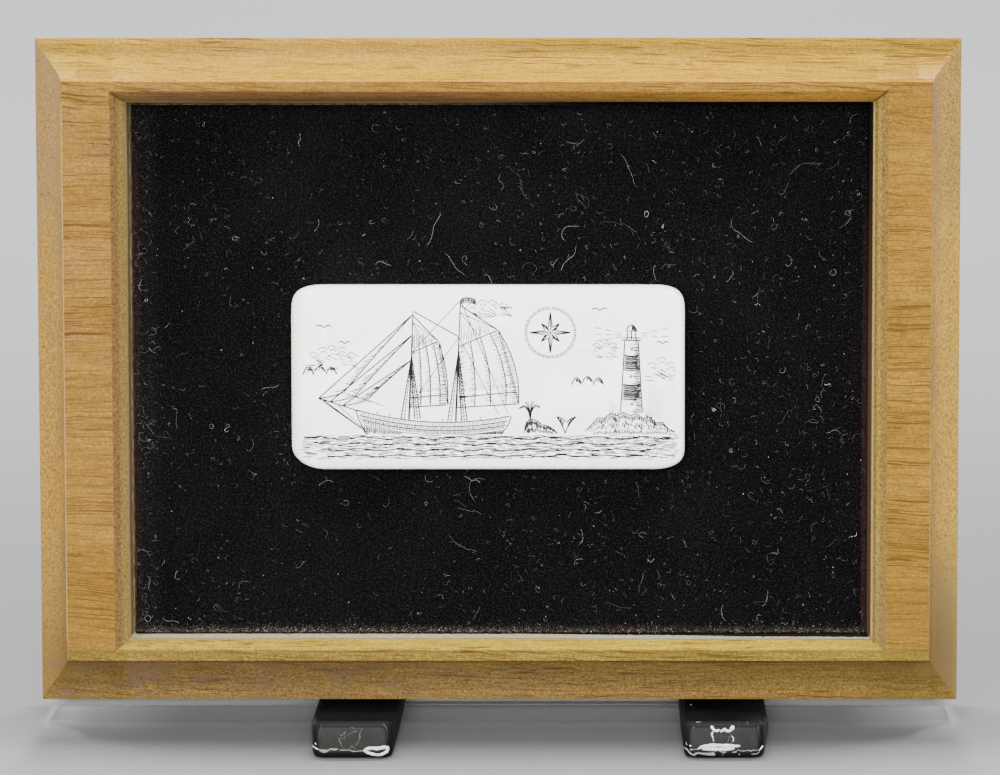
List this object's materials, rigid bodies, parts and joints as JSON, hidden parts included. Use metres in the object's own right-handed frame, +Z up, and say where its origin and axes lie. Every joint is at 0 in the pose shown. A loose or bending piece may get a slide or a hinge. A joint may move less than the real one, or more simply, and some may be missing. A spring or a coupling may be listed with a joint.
{
  "type": "scrimshaw panel",
  "caption": "Engraved ivory-coloured plaque on black velvet in the pocket of a coved wooden board, leaning back on a small black display stand.",
  "frame": {"origin": "on the table, under the middle of the whole work: midway between the board's two ends, and midway between the tips of the stand's lips and the rear ends of its feet", "axes": "+X to the right along the board, +Y to the back, +Z up; the picture faces -Y and leans back 7 degrees"},
  "size_m": [0.1778, 0.0694, 0.1316],
  "materials": {
    "oiled_wood": "oiled hardwood, grain running from side to side, worn at the edges",
    "black_velvet": "short black pile with pale lint",
    "polished_ivory": "polished ivory or bone, engraved lines filled with black",
    "black_plastic": "moulded black plastic, satin, with pale scuffs at the lips"
  },
  "bodies": {
    "root": {"wood_frame": "oiled_wood", "velvet_lining": "black_velvet", "scrimshaw_plaque": "polished_ivory", "display_stand": "black_plastic"}
  },
  "joints": []
}
